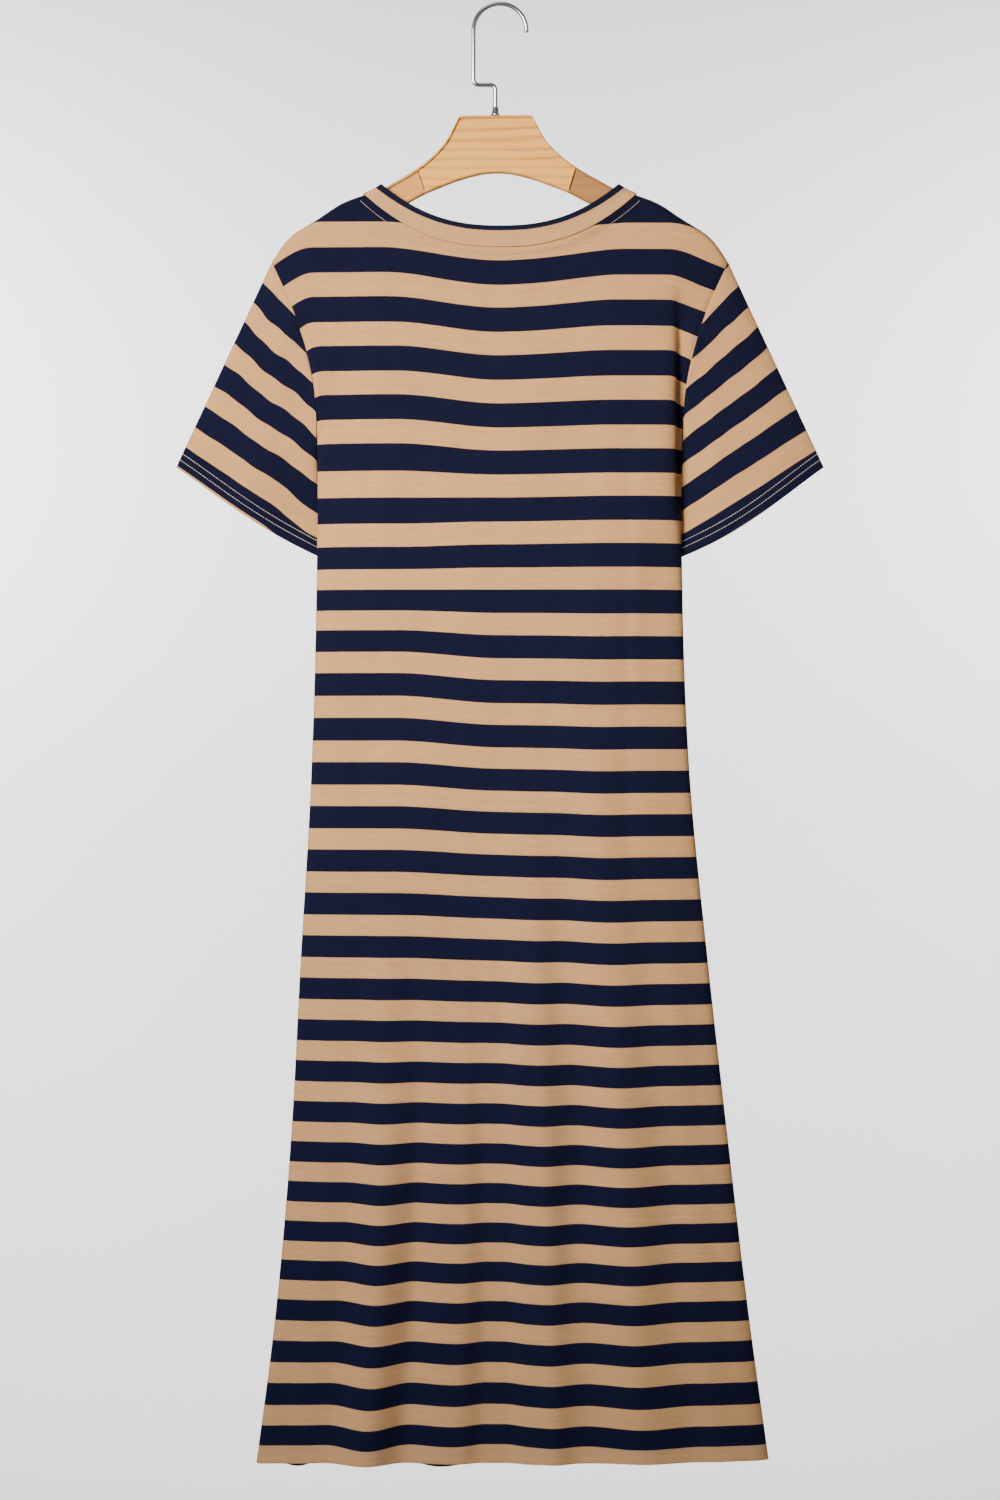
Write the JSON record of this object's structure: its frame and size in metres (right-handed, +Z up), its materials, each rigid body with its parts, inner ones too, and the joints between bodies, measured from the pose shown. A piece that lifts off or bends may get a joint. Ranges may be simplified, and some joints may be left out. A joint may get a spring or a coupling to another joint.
{
  "type": "t-shirt dress on a clothes hanger",
  "caption": "Short-sleeved striped jersey t-shirt dress hanging from a flat wooden hanger with a wire hook, its back towards -Y.",
  "frame": {"origin": "inside top of the hook, where the rail carries it", "axes": "+Z up, the back of the dress faces -Y, and the wearer's right side is at +X"},
  "size_m": [0.622, 0.0661, 1.4166],
  "materials": {
    "striped_jersey": "soft cotton jersey in navy and khaki stripes, slight sheen",
    "plain_jersey": "khaki jersey with a navy rim",
    "hanger_wood": "pale beech, satin varnish",
    "hanger_arm_wood": "pale beech, satin varnish",
    "hook_wire": "chromed steel wire"
  },
  "bodies": {
    "root": {"back_panel": "striped_jersey", "front_panel": "striped_jersey", "sleeve_left": "striped_jersey", "sleeve_right": "striped_jersey", "neckband": "plain_jersey", "hanger_centre": "hanger_wood", "hanger_arm_left": "hanger_arm_wood", "hanger_arm_right": "hanger_arm_wood", "hanger_hook": "hook_wire", "hook_ferrule": "hook_wire"}
  },
  "joints": []
}
